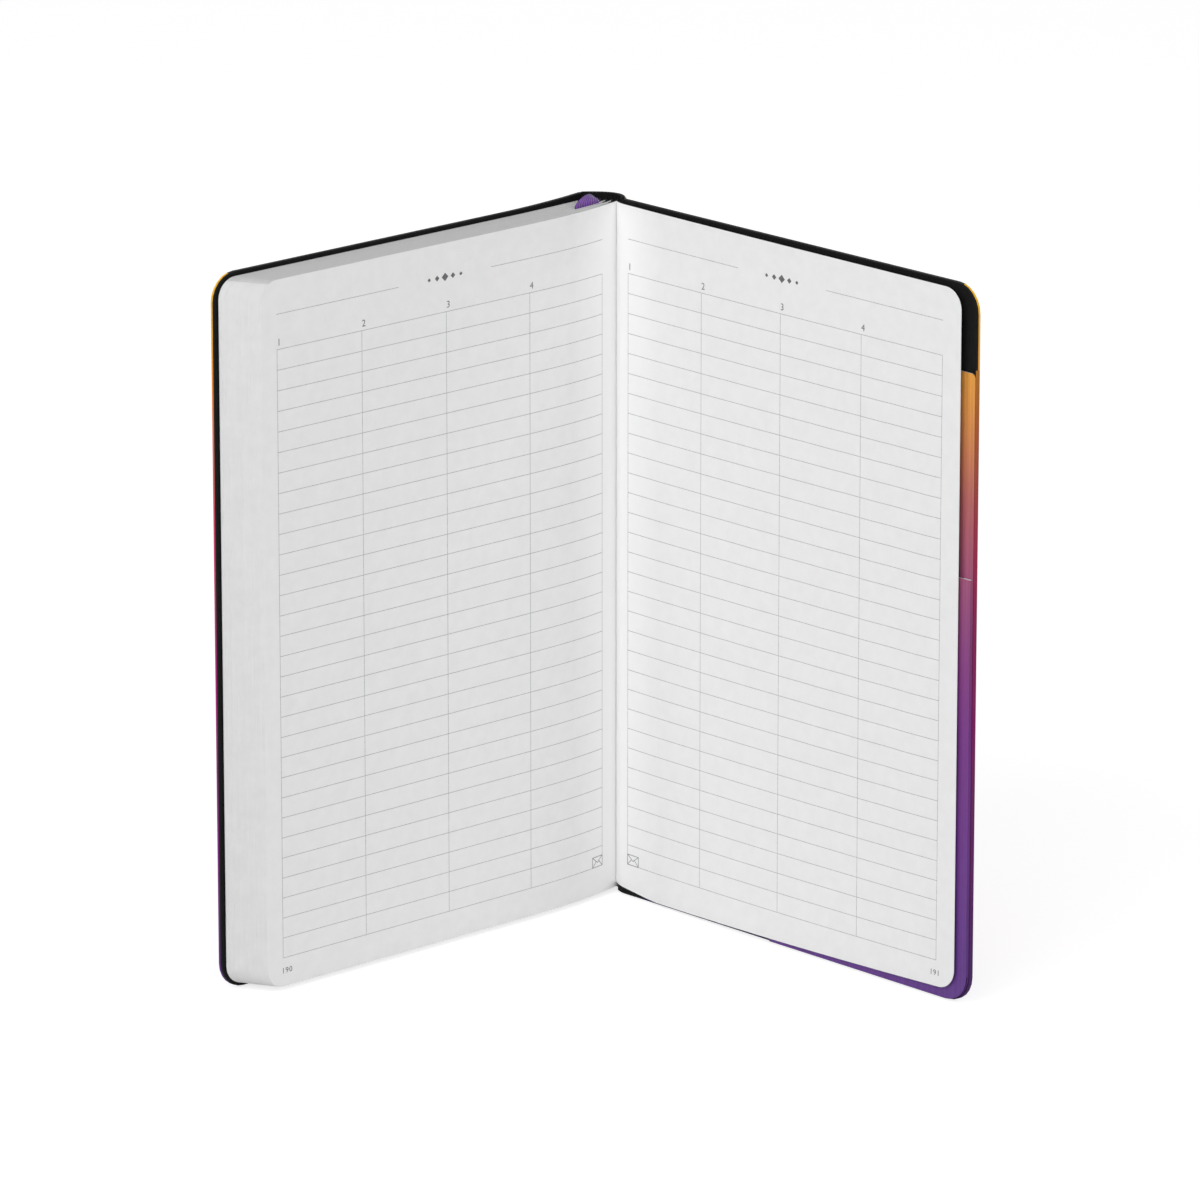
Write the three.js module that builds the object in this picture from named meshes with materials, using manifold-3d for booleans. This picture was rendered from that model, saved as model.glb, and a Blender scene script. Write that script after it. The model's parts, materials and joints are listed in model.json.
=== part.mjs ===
import * as THREE from 'three';
import { mergeVertices } from 'three/addons/utils/BufferGeometryUtils.js';
import Module from 'manifold-3d';

// A softcover notebook that stands on its lower edge, open at the last leaf.
// Lengths are in millimetres and angles in degrees, with +Z up along the spine.
// The front half and the spine are drawn in one plan: x runs out along the front cover,
// y runs from its outer face towards the reader, and x is 0 at the front cover's hinge.
// The back half has its own plan at its hinge: x runs out along the back cover.

// Opening
const frontAngle = 42.5;
const backAngle = 46.3;

// Covers
const coverHeight = 210;
const coverWidth = 141.5;
const cornerRadius = 8;
const skinThickness = 0.35;
const cardThickness = 0.55;
const pastedownThickness = 0.2;
const glueLine = 0.05;
const hingeGap = 0.15;
const flareDepth = 3;
const flareLength = 34;

// Paper block: the folds step back from the first section to the last
const foreEdgeMargin = 1.4;
const pageMargin = 1.2;
const pageCornerRadius = 6;
const sectionCount = 6;
const sectionThickness = 1.75;
const sectionGap = 0.1;
const foldInset = 0.3;
const foldShear = 6;
const foldRadius = 0.45;
const foldDip = 1.5;
const foldDipGain = 2.6;
const foldDipLength = 45;
const slantStart = 16;
const endpaperThickness = 0.2;
const sheetGap = 0.1;
const pageWidth = coverWidth - foreEdgeMargin - foldInset;

// Sewing and cloth behind the folds
const threadDiameter = 0.24;
const threadGap = 0.1;
const threadHeight = 180;
const kettleStitches = 4;
const gauzeThickness = 0.3;
const gauzeHeight = 190;
const gauzeReach = 0.94;

// Spine
const spineFrontLap = 0.65;
const spineFrontPull = 10;
const spineFrontAngle = 143;
const spineBackPull = 6;
const spineBackAngle = 223.8;
const spineCardInset = 2;
const backHingeDrop = 0.15;
const backHingeForward = 1.4;

// Paper pocket inside the back cover
const pocketWidth = 79;
const pocketPaper = 0.3;
const pocketGap = 0.1;
const pocketEdge = 0.35;
const pocketFrontHeight = 125.5;
const pocketBackHeight = 185;
const gussetWidth = 3;
const pocketCorner = 1.2;
const pocketEnd = coverWidth - pocketEdge;
const pocketStart = pocketEnd - pocketWidth;

// Loose leaves of the back half: heights above the back cover's outer face, at places out from its hinge
const leafThickness = 0.2;
const leafStart = 1.3;
const leafBend = 15;
const leafLean = 30;
const leafEndMargin = 3.5;
const leafEnd = coverWidth - leafEndMargin;
const riseAt = [leafStart, leafBend, leafLean, pocketStart, pocketStart + leafLean, leafEnd];
const flyleafRise = [1.35, 1.8, 2.05, 2.6, 2.75, 3];
const leafRise = [1.65, 2.15, 2.4, 2.9, 3.1, 3.4];

// Ribbon bookmark, which lies on the fifth section
const ribbonWidth = 7.2;
const ribbonThickness = 0.2;
const ribbonInset = 5;
const ribbonIndex = 5;
const ribbonTail = 24;
const ribbonLoopRise = 1.8;
const ribbonGluedLength = 12;
const ribbonGap = 0.2;

const arcSteps = 6;
const radians = THREE.MathUtils.degToRad;
const wasm = await Module();
wasm.setup();

// Colours and finishes
function finish(color, roughness) {
  return new THREE.MeshStandardMaterial({ color, roughness, metalness: 0 });
}
const printedFinish = finish(0xb4356f, 0.6);
const cardFinish = finish(0x2a2a2c, 0.9);
const blackPaperFinish = finish(0x151516, 0.85);
const pageFinish = finish(0xe6e6e6, 0.9);
const clothFinish = finish(0xd8d5cc, 0.95);
const threadFinish = finish(0xf0efe9, 0.8);
const ribbonFinish = finish(0x6b3a96, 0.5);
const pocketFinish = finish(0x9a4a8a, 0.7);

function solidOf(geometry) {
  const merged = mergeVertices(geometry, 1e-4);
  const vertProperties = new Float32Array(merged.attributes.position.array);
  const triVerts = new Uint32Array(merged.index.array);
  return new wasm.Manifold(new wasm.Mesh({ numProp: 3, vertProperties, triVerts }));
}

function geometryOf(solid) {
  const mesh = solid.getMesh();
  const geometry = new THREE.BufferGeometry();
  geometry.setAttribute('position', new THREE.BufferAttribute(mesh.vertProperties, 3));
  geometry.setIndex(new THREE.BufferAttribute(mesh.triVerts, 1));
  return geometry;
}

function piece(name, geometry, material) {
  geometry.computeVertexNormals();
  const mesh = new THREE.Mesh(geometry, material.clone());
  mesh.name = name;
  return mesh;
}

// Closed body through a row of four-cornered rings. Each ring goes round low, high, high, low.
function loft(rings) {
  const positions = rings.flat().flatMap((corner) => [corner.x, corner.y, corner.z]);
  const index = [0, 3, 2, 0, 2, 1];
  for (let ring = 0; ring < rings.length - 1; ring += 1) {
    for (let corner = 0; corner < 4; corner += 1) {
      const a = ring * 4 + corner;
      const b = ring * 4 + ((corner + 1) % 4);
      index.push(a, b, b + 4, a, b + 4, a + 4);
    }
  }
  const last = (rings.length - 1) * 4;
  index.push(last, last + 1, last + 2, last, last + 2, last + 3);
  const geometry = new THREE.BufferGeometry();
  geometry.setAttribute('position', new THREE.Float32BufferAttribute(positions, 3));
  geometry.setIndex(index);
  return geometry;
}

// Upright sheet through plan stations. Each station is the sheet's low face point and high face point,
// and an inset from the sheet's lower and upper edges.
function uprightSheet(stations, bottom, top) {
  const rings = stations.map(({ low, high, foot = 0, head = 0 }) => [
    new THREE.Vector3(low.x, low.y, bottom + foot),
    new THREE.Vector3(high.x, high.y, bottom + foot),
    new THREE.Vector3(high.x, high.y, top - head),
    new THREE.Vector3(low.x, low.y, top - head),
  ]);
  return loft(rings);
}

// Distances along a sheet: even steps over its curve, then round its outer corners.
// Each entry is the distance and the inset of the corner there.
function distances(start, curveEnd, end, radius, steps = 8) {
  const entries = [];
  for (let i = 0; i <= steps; i += 1) {
    entries.push({ x: start + (curveEnd - start) * (i / steps), inset: 0 });
  }
  for (let i = 0; i <= arcSteps; i += 1) {
    const turn = (i / arcSteps) * (Math.PI / 2);
    entries.push({ x: end - radius + radius * Math.sin(turn), inset: radius - radius * Math.cos(turn) });
  }
  return entries;
}

function point(x, y) {
  return new THREE.Vector2(x, y);
}

// The front cover flares outwards near its hinge.
function frontFlare(x) {
  const left = Math.max(0, 1 - x / flareLength);
  return -flareDepth * left * left;
}

const coverThickness = skinThickness + cardThickness + pastedownThickness + 2 * glueLine;
const hingeDepth = coverThickness / 2;

// Plan place of a distance from the hinge and a level above the cover's outer face
const frontPlate = (x, level) => point(x, frontFlare(x) + level);
const backPlate = (x, level) => point(x, hingeDepth - level);

// One station of a cover layer between the levels from and to
function plateStation(plate, xFrom, xTo, from, to, inset) {
  const [low, high] = [plate(xFrom, from), plate(xTo, to)].sort((a, b) => a.y - b.y);
  return { low, high, foot: inset, head: inset };
}

function plateSheet(plate, heel, from, to, end, edge) {
  const body = distances(hingeDepth, flareLength, end, cornerRadius - edge, 10);
  const stations = body.map(({ x, inset }) => plateStation(plate, x, x, from, to, inset));
  return uprightSheet([...heel, ...stations], edge, coverHeight - edge);
}

// How far a layer reaches behind the hinge line, so that the cover's end is round there
function heelReach(level) {
  return -Math.sqrt(Math.max(0, hingeDepth ** 2 - (level - hingeDepth) ** 2));
}

function coverLayer(plate, from, to, end, edge) {
  const heel = [plateStation(plate, heelReach(from), heelReach(to), from, to, 0)];
  return plateSheet(plate, heel, from, to, end, edge);
}

// The printed skin is a shallow tray that holds the card and the pastedown.
function coverSkin(plate) {
  const heel = [0.2, 0.6, 1, 1.5].map((level) => {
    const depth = hingeDepth * Math.sin(level);
    const x = -hingeDepth * Math.cos(level);
    return plateStation(plate, x, x, hingeDepth - depth, hingeDepth + depth, 0);
  });
  const outside = solidOf(plateSheet(plate, heel, 0, coverThickness, coverWidth, 0));
  const above = 2 * coverThickness;
  const hollowHeel = [plateStation(plate, -coverThickness, -coverThickness, skinThickness, above, 0)];
  const hollowEnd = coverWidth - skinThickness;
  const hollow = solidOf(plateSheet(plate, hollowHeel, skinThickness, above, hollowEnd, skinThickness));
  return geometryOf(outside.subtract(hollow));
}

function addCover(group, name, plate) {
  const edge = skinThickness + glueLine;
  const cardTo = edge + cardThickness;
  group.add(piece(`${name}_cover_skin`, coverSkin(plate), printedFinish));
  const card = coverLayer(plate, edge, cardTo, coverWidth - edge, edge);
  group.add(piece(`${name}_cover_card`, card, cardFinish));
  const pastedown = coverLayer(plate, cardTo + glueLine, coverThickness, coverWidth - edge, edge);
  group.add(piece(`${name}_pastedown`, pastedown, blackPaperFinish));
}

const frontHalf = new THREE.Group();
frontHalf.rotation.z = Math.PI + radians(frontAngle);
addCover(frontHalf, 'front', frontPlate);

// Leaves dip towards the front cover near their folds. This is 1 at a fold and falls to 0 away from it.
function nearFold(fromFold) {
  return Math.max(0, 1 - fromFold / foldDipLength) ** 3;
}

// Depth of the dip, a given share of the way from the first leaf to the last
function dipDepth(share) {
  return foldDip + foldDipGain * share;
}

const pageBottom = pageMargin;
const pageTop = coverHeight - pageMargin;
const flyleafFloor = coverThickness + sheetGap;
const blockFloor = flyleafFloor + endpaperThickness + sheetGap;
const sectionPitch = sectionThickness + sectionGap;
const blockThickness = sectionCount * sectionPitch;

// Black free endpaper in front of the first section
const flyleafStations = distances(0, foldDipLength, pageWidth, pageCornerRadius).map(({ x, inset }) => ({
  low: point(foldInset + x, flyleafFloor - dipDepth(0) * nearFold(x)),
  high: point(foldInset + x, flyleafFloor + endpaperThickness - dipDepth(0) * nearFold(x)),
  foot: inset,
  head: inset,
}));
frontHalf.add(piece('front_flyleaf', uprightSheet(flyleafStations, pageBottom, pageTop), blackPaperFinish));

// Centre of a fold, a given share of the way from the first leaf to the last
function foldAt(share) {
  return point(foldInset - foldShear * share, blockFloor + blockThickness * share - dipDepth(share));
}

// Half the thickness of a section, and the height of its middle, at a distance from its fold
function sectionHalf(fromFold) {
  return sectionThickness / 2 - (sectionThickness / 2 - foldRadius) * nearFold(fromFold - foldRadius);
}

function sectionHeight(share, fromFold) {
  return blockFloor + blockThickness * share - dipDepth(share) * nearFold(fromFold);
}

// One sewn section: a round fold, a neck that thickens, and a fore-edge cut on the slant
function sectionStations(number) {
  const share = (number - 0.5) / sectionCount;
  const fold = foldAt(share);
  const slant = foldShear / sectionCount / 2;
  const stations = [];
  for (const turn of [0.15, 0.55, 1]) {
    const reach = foldRadius * Math.sin(turn);
    const back = fold.x - foldRadius * Math.cos(turn);
    stations.push({ low: point(back, fold.y - reach), high: point(back, fold.y + reach) });
  }
  for (const { x, inset } of distances(foldRadius, foldDipLength, pageWidth, pageCornerRadius)) {
    const step = slant * THREE.MathUtils.clamp((x - slantStart) / (pageWidth - slantStart), 0, 1);
    stations.push({
      low: point(fold.x + x + step, sectionHeight(share, x) - sectionHalf(x)),
      high: point(fold.x + x - step, sectionHeight(share, x) + sectionHalf(x)),
      foot: inset,
      head: inset,
    });
  }
  return stations;
}

for (let number = 1; number <= sectionCount; number += 1) {
  const section = uprightSheet(sectionStations(number), pageBottom, pageTop);
  frontHalf.add(piece(`section_${number}`, section, pageFinish));
}

// Direction along the row of folds, and the direction out of the back of the block
const foldRow = foldAt(1).sub(foldAt(0)).normalize();
const outOfBack = point(-foldRow.y, foldRow.x);

// Thread: a run up the back of each fold, joined across the folds at the kettle stitches
const threadDepth = foldRadius + threadGap + threadDiameter / 2;

function threadRun(length) {
  const run = new THREE.CylinderGeometry(threadDiameter / 2, threadDiameter / 2, length, 8);
  run.deleteAttribute('normal');
  run.deleteAttribute('uv');
  return run;
}
const runs = [];
for (let number = 1; number <= sectionCount; number += 1) {
  const place = foldAt((number - 0.5) / sectionCount).addScaledVector(outOfBack, threadDepth);
  const upright = threadRun(threadHeight);
  upright.rotateX(Math.PI / 2);
  upright.translate(place.x, place.y, coverHeight / 2);
  runs.push(solidOf(upright));
}
const crossingPlace = foldAt(0.5).addScaledVector(outOfBack, threadDepth);
for (let crossing = 0; crossing < kettleStitches; crossing += 1) {
  const across = threadRun(foldAt(0).distanceTo(foldAt(1)) * (1 - 1 / sectionCount) + threadDiameter);
  across.rotateZ(foldRow.angle() - Math.PI / 2);
  const share = crossing / (kettleStitches - 1) - 0.5;
  const height = coverHeight / 2 + (threadHeight - threadDiameter) * share;
  across.translate(crossingPlace.x, crossingPlace.y, height);
  runs.push(solidOf(across));
}
const sewing = runs.reduce((joined, run) => joined.add(run));
frontHalf.add(piece('sewing_threads', geometryOf(sewing), threadFinish));

// Open-weave cloth over the stitches
const gauzeInner = threadDepth + threadDiameter / 2 + threadGap;
const gauzeOuter = gauzeInner + gauzeThickness;
const gauzeStations = [1 - gauzeReach, gauzeReach].map((share) => ({
  low: foldAt(share).addScaledVector(outOfBack, gauzeInner),
  high: foldAt(share).addScaledVector(outOfBack, gauzeOuter),
}));
const gauzeFoot = (coverHeight - gauzeHeight) / 2;
const gauze = uprightSheet(gauzeStations, gauzeFoot, coverHeight - gauzeFoot);
frontHalf.add(piece('binding_gauze', gauze, clothFinish));

// Hinge lines of the two covers
const frontHinge = point(0, frontFlare(0) + hingeDepth);
const backHinge = foldAt(1).add(point(backHingeForward, dipDepth(1) - backHingeDrop));

const backHalf = new THREE.Group();
backHalf.position.set(backHinge.x, backHinge.y, 0);
backHalf.rotation.z = Math.PI - radians(frontAngle + backAngle);
frontHalf.add(backHalf);
addCover(backHalf, 'back', backPlate);

// Loose leaves lean on the back cover and rise over the pocket.
function riseOf(rises, x) {
  let i = 1;
  while (i < riseAt.length - 1 && x > riseAt[i]) i += 1;
  const share = (x - riseAt[i - 1]) / (riseAt[i] - riseAt[i - 1]);
  return THREE.MathUtils.lerp(rises[i - 1], rises[i], share);
}

function looseLeaf(rises) {
  const along = riseAt.slice(0, -1).map((x) => ({ x, inset: 0 }));
  const corner = distances(leafStart, leafStart, leafEnd, pageCornerRadius, 0).slice(1);
  const stations = [...along, ...corner].map(({ x, inset }) => ({
    low: point(x, hingeDepth - riseOf(rises, x) - leafThickness),
    high: point(x, hingeDepth - riseOf(rises, x)),
    foot: inset,
    head: inset,
  }));
  return uprightSheet(stations, pageBottom, pageTop);
}
backHalf.add(piece('back_flyleaf', looseLeaf(flyleafRise), blackPaperFinish));
backHalf.add(piece('last_leaf', looseLeaf(leafRise), pageFinish));

// Paper pocket: back panel, a folded strip up each side, and a lower front panel
function pocketSheet(from, to, top, topCorner) {
  const low = hingeDepth - to;
  const high = hingeDepth - from;
  const stations = [{ low: point(pocketStart, low), high: point(pocketStart, high) }];
  for (const { x, inset } of distances(pocketStart, pocketStart, pocketEnd, cornerRadius, 0).slice(1)) {
    const past = Math.max(0, x - (pocketEnd - topCorner));
    const head = topCorner - Math.sqrt(Math.max(0, topCorner * topCorner - past * past));
    stations.push({ low: point(x, low), high: point(x, high), foot: inset, head });
  }
  return uprightSheet(stations, pocketEdge, top);
}

const panelFrom = coverThickness + pocketGap;
const panelTo = panelFrom + pocketPaper;
const gussetFrom = panelTo + pocketGap;
const gussetTo = gussetFrom + pocketPaper + pocketGap;
const frontFrom = gussetTo + pocketGap;
const frontTo = frontFrom + pocketPaper;
const backPanel = pocketSheet(panelFrom, panelTo, pocketBackHeight, pocketCorner);
backHalf.add(piece('pocket_back_panel', backPanel, pocketFinish));
const frontPanel = pocketSheet(frontFrom, frontTo, pocketFrontHeight, 0);
backHalf.add(piece('pocket_front_panel', frontPanel, pocketFinish));

function gusset(start) {
  const stations = [start, start + gussetWidth].map((x) => ({
    low: point(x, hingeDepth - gussetTo),
    high: point(x, hingeDepth - gussetFrom),
  }));
  return uprightSheet(stations, pocketEdge + cornerRadius, pocketFrontHeight);
}
backHalf.add(piece('pocket_outer_gusset', gusset(pocketEnd - gussetWidth), pocketFinish));
backHalf.add(piece('pocket_inner_gusset', gusset(pocketStart), pocketFinish));

// Spine: its outer face runs from the front hinge to the back hinge in one curve
const hingeStandoff = hingeDepth + hingeGap;
const spineStart = point(frontHinge.x - hingeStandoff - spineFrontLap, frontHinge.y - hingeDepth);
const spineEnd = point(-hingeStandoff, hingeDepth).rotateAround(point(0, 0), backHalf.rotation.z);
spineEnd.add(backHinge);

function handle(end, turn, pull) {
  return point(pull, 0).rotateAround(point(0, 0), radians(turn)).add(end);
}
const spineCurve = new THREE.CubicBezierCurve(
  spineStart,
  handle(spineStart, spineFrontAngle, spineFrontPull),
  handle(spineEnd, spineBackAngle, spineBackPull),
  spineEnd,
);

function spineLayer(from, to, inset) {
  const length = spineCurve.getLength();
  const stations = [];
  for (let i = 0; i <= 16; i += 1) {
    const share = (inset + (length - 2 * inset) * (i / 16)) / length;
    const face = spineCurve.getPointAt(share);
    const along = spineCurve.getTangentAt(share);
    const inward = point(along.y, -along.x);
    stations.push({
      low: face.clone().addScaledVector(inward, to),
      high: face.clone().addScaledVector(inward, from),
    });
  }
  return uprightSheet(stations, 0, coverHeight);
}
const spineCardFrom = skinThickness + glueLine;
const spineCardTo = spineCardFrom + cardThickness;
frontHalf.add(piece('spine_skin', spineLayer(0, skinThickness, 0), printedFinish));
frontHalf.add(piece('spine_strip', spineLayer(spineCardFrom, spineCardTo, spineCardInset), cardFinish));
const spineLining = spineLayer(spineCardTo + glueLine, coverThickness, 0);
frontHalf.add(piece('spine_lining', spineLining, blackPaperFinish));

// Ribbon: up between two sections, over the head of the folds, down behind the cloth
const ribbonShare = (ribbonIndex - 0.5) / sectionCount;

function onRibbonSection(x) {
  const height = sectionHeight(ribbonShare, x) - sectionHalf(x) - sheetGap / 2;
  return point(foldAt(ribbonShare).x + x, height);
}
const ribbonEntry = [onRibbonSection(ribbonInset), onRibbonSection(ribbonInset + ribbonWidth)];
const ribbonBehind = gauzeOuter + ribbonGap;
const ribbonReach = ribbonWidth / foldAt(1).distanceTo(foldAt(0)) / 2;
const behindAt = (share, depth) => foldAt(share).addScaledVector(outOfBack, ribbonBehind + depth);
const crown = pageTop + ribbonLoopRise;

const ribbonTailSheet = uprightSheet(
  ribbonEntry.map((place) => ({ low: point(place.x, place.y - ribbonThickness), high: place })),
  ribbonTail,
  crown,
);
const ribbonGluedSheet = uprightSheet(
  [0.5 - ribbonReach, 0.5 + ribbonReach].map((share) => ({
    low: behindAt(share, 0),
    high: behindAt(share, ribbonThickness),
  })),
  pageTop - ribbonGluedLength,
  crown,
);
const bridgePlan = [
  ribbonEntry[0],
  behindAt(0.5 + ribbonReach, ribbonThickness),
  behindAt(0.5 - ribbonReach, ribbonThickness),
  ribbonEntry[1],
];
const bridgeRing = (height) => bridgePlan.map(({ x, y }) => new THREE.Vector3(x, y, height));
const ribbonBridge = loft([bridgeRing(crown - ribbonThickness), bridgeRing(crown)]);
const ribbon = [ribbonGluedSheet, ribbonBridge].reduce(
  (joined, sheet) => joined.add(solidOf(sheet)),
  solidOf(ribbonTailSheet),
);
frontHalf.add(piece('ribbon_bookmark', geometryOf(ribbon), ribbonFinish));

// The origin is under the middle of the standing notebook, on the surface that it stands on.
const notebook = new THREE.Group();
notebook.add(frontHalf);
notebook.updateMatrixWorld(true);
const reach = new THREE.Box3().setFromObject(notebook, true);
const centre = reach.getCenter(new THREE.Vector3());
frontHalf.position.set(-centre.x, -centre.y, -reach.min.z);

// Hinge lines of the parts that turn
notebook.updateMatrixWorld(true);
const inFrame = ({ x, y }) => frontHalf.localToWorld(new THREE.Vector3(x, y, 0)).toArray();
const flyleafHinge = point(foldInset, flyleafFloor + endpaperThickness / 2 - dipDepth(0));
const hinges = {
  front_cover: inFrame(frontHinge),
  back_cover: inFrame(backHinge),
  front_flyleaf: inFrame(flyleafHinge),
};
for (let number = 1; number <= sectionCount; number += 1) {
  hinges[`section_${number}`] = inFrame(foldAt((number - 0.5) / sectionCount));
}
notebook.userData.hinges = hinges;

export default notebook;
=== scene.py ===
import json
import math
import random

import bpy
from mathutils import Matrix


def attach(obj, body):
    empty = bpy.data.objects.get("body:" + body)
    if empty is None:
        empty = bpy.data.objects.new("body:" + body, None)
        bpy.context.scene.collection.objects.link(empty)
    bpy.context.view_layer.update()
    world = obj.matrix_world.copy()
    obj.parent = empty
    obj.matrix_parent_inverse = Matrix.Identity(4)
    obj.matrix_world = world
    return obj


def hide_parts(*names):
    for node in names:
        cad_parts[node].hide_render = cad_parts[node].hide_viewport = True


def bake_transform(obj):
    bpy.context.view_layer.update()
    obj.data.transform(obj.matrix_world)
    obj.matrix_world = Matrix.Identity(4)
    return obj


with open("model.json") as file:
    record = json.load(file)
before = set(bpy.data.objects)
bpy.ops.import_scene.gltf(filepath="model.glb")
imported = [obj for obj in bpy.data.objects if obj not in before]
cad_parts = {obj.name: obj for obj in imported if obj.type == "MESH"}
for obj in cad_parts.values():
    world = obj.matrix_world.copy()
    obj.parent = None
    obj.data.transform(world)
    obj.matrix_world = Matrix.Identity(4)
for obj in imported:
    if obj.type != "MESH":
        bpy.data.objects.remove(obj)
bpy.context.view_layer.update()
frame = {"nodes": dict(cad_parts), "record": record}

# Camera
# The photograph is taken from far away with a long lens, slightly from above, with the
# camera tilted down. The scene's lengths below are in millimetres and are made metres by MM.
MM = 0.001
CAMERA_PLACE = (1.47, -2508.13, 834.0)
CAMERA_TILT = 16.24
CAMERA_LENS = 273.7
CAMERA_SENSOR = 36.0
CAMERA_NEAR = 0.1
CAMERA_FAR = 50.0


def clear_selection():
    if bpy.context.object and bpy.context.object.mode != "OBJECT":
        bpy.ops.object.mode_set(mode="OBJECT")
    bpy.ops.object.select_all(action="DESELECT")


clear_selection()
bpy.ops.object.camera_add(
    location=[value * MM for value in CAMERA_PLACE],
    rotation=(math.radians(90 - CAMERA_TILT), 0, 0),
)
camera = bpy.context.object
camera.data.lens = CAMERA_LENS
camera.data.sensor_width = CAMERA_SENSOR
camera.data.clip_start = CAMERA_NEAR
camera.data.clip_end = CAMERA_FAR
bpy.context.scene.camera = camera

# Floor and light
# A seamless white table under plain studio light: a big softbox high on the left, a weaker
# one on the right, one in front beside the camera, and even light from all round. The table
# keeps the notebook's soft shadow. Places and sizes of the table and the lamps are in metres.
TABLE_SIZE = 6.0
TABLE_DROP = 0.0002
TABLE_GREY = (0.8, 0.8, 0.8, 1)
TABLE_GLOW = 1.35
GLOW_SHARE = 0.55
ROOM_LIGHT = 0.435
WHITE = (1, 1, 1, 1)
SOFTBOXES = [
    ("softbox_left", (-1.1, -1.3, 1.5), (52, 0, -40), 1.2, 13.6),
    ("softbox_right", (1.2, -1.0, 1.2), (55, 0, 50), 1.0, 4.2),
    ("softbox_front", (-0.2, -2.5, 1.1), (68, 0, -5), 1.6, 21),
]
bpy.context.scene.view_settings.view_transform = "Standard"


def new_material(name):
    material = bpy.data.materials.new(name)
    material.use_nodes = True
    return material, material.node_tree


def add_node(tree, kind, **settings):
    node = tree.nodes.new(kind)
    for key, value in settings.items():
        setattr(node, key, value)
    return node


def plug(tree, source, socket):
    if hasattr(source, "is_output"):
        tree.links.new(source, socket)
    else:
        socket.default_value = source


def do_math(tree, operation, a, b=None):
    node = add_node(tree, "ShaderNodeMath", operation=operation)
    plug(tree, a, node.inputs[0])
    if b is not None:
        plug(tree, b, node.inputs[1])
    return node.outputs[0]


def mix_colour(tree, factor, a, b):
    node = add_node(tree, "ShaderNodeMix", data_type="RGBA")
    plug(tree, factor, node.inputs["Factor"])
    plug(tree, a, node.inputs[6])
    plug(tree, b, node.inputs[7])
    return node.outputs[2]


def mix_shader(tree, factor, a, b):
    node = add_node(tree, "ShaderNodeMixShader")
    for source, socket in zip((factor, a, b), node.inputs):
        tree.links.new(source, socket)
    return node.outputs[0]


def set_finish(tree, colour, roughness, gloss=0.5):
    """A material's colour, its roughness and how glossy it is. The plain gloss is 0.5."""
    shader = tree.nodes["Principled BSDF"]
    plug(tree, colour, shader.inputs["Base Color"])
    plug(tree, roughness, shader.inputs["Roughness"])
    plug(tree, gloss, shader.inputs["Specular IOR Level"])
    return shader


def seen_ray(tree):
    """1 for what the camera sees, also where a gloss or a clear piece shows it."""
    rays = add_node(tree, "ShaderNodeLightPath").outputs
    shown = do_math(tree, "MAXIMUM", rays["Is Glossy Ray"], rays["Is Transmission Ray"])
    return do_math(tree, "MAXIMUM", rays["Is Camera Ray"], shown)


clear_selection()
bpy.ops.mesh.primitive_plane_add(size=TABLE_SIZE, location=(0, 0, -TABLE_DROP))
table = bpy.context.object
table.name = "table_top"
table_white, tree = new_material("table_white")
seen = seen_ray(tree)
shader = set_finish(tree, mix_colour(tree, seen, TABLE_GREY, WHITE), 0.9, 0.1)
glow = add_node(tree, "ShaderNodeEmission")
glow.inputs["Color"].default_value = WHITE
glow.inputs["Strength"].default_value = TABLE_GLOW
share = do_math(tree, "MULTIPLY", seen, GLOW_SHARE)
surface = mix_shader(tree, share, shader.outputs[0], glow.outputs[0])
tree.links.new(surface, tree.nodes["Material Output"].inputs["Surface"])
table.data.materials.append(table_white)

world = bpy.data.worlds.new("studio")
bpy.context.scene.world = world
world.use_nodes = True
tree = world.node_tree
room = tree.nodes["Background"]
backdrop = add_node(tree, "ShaderNodeBackground")
for light, strength in ((room, ROOM_LIGHT), (backdrop, 1)):
    light.inputs["Color"].default_value = WHITE
    light.inputs["Strength"].default_value = strength
surround = mix_shader(tree, seen_ray(tree), room.outputs[0], backdrop.outputs[0])
tree.links.new(surround, tree.nodes["World Output"].inputs["Surface"])

for name, place, turn, width, power in SOFTBOXES:
    clear_selection()
    rotation = [math.radians(angle) for angle in turn]
    bpy.ops.object.light_add(type="AREA", location=place, rotation=rotation)
    lamp = bpy.context.object
    lamp.name = name
    lamp.data.size = width
    lamp.data.energy = power

# Covers
# Two covers of card, wrapped in a soft-touch printed skin that turns round their edges and
# lined with black paper. The print runs from orange at the head to violet at the tail.
COVER_HEIGHT = 210.0
COVER_THICKNESS = 1.2
FRONT_TURN = 222.5
BACK_TURN = -46.3
FRONT_HINGE_DEPTH = -2.4
COVER_STOPS = [
    (0.00, (86, 52, 128)),
    (0.13, (112, 46, 126)),
    (0.30, (140, 40, 122)),
    (0.45, (168, 32, 117)),
    (0.60, (196, 48, 106)),
    (0.72, (212, 80, 84)),
    (0.88, (228, 145, 38)),
    (1.00, (242, 190, 44)),
]
WORN_PRINT = (0.9, 0.85, 0.85, 1)
BLACK_EDGE = (0.012, 0.012, 0.013, 1)
PRINT_WRAP = 0.7
PRINT_LIMIT = 0.97
HEAD_RIM = 1.2
EDGE_SHADE = 0.45
PRINTED_SHADED_EDGE_TOP = 186.0
LINING_BLACK = 0.006
CARD_BLACK = 0.012


def linear(colour):
    values = [value / 255 for value in colour]
    return [v / 12.92 if v <= 0.04045 else ((v + 0.055) / 1.055) ** 2.4 for v in values] + [1]


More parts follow.
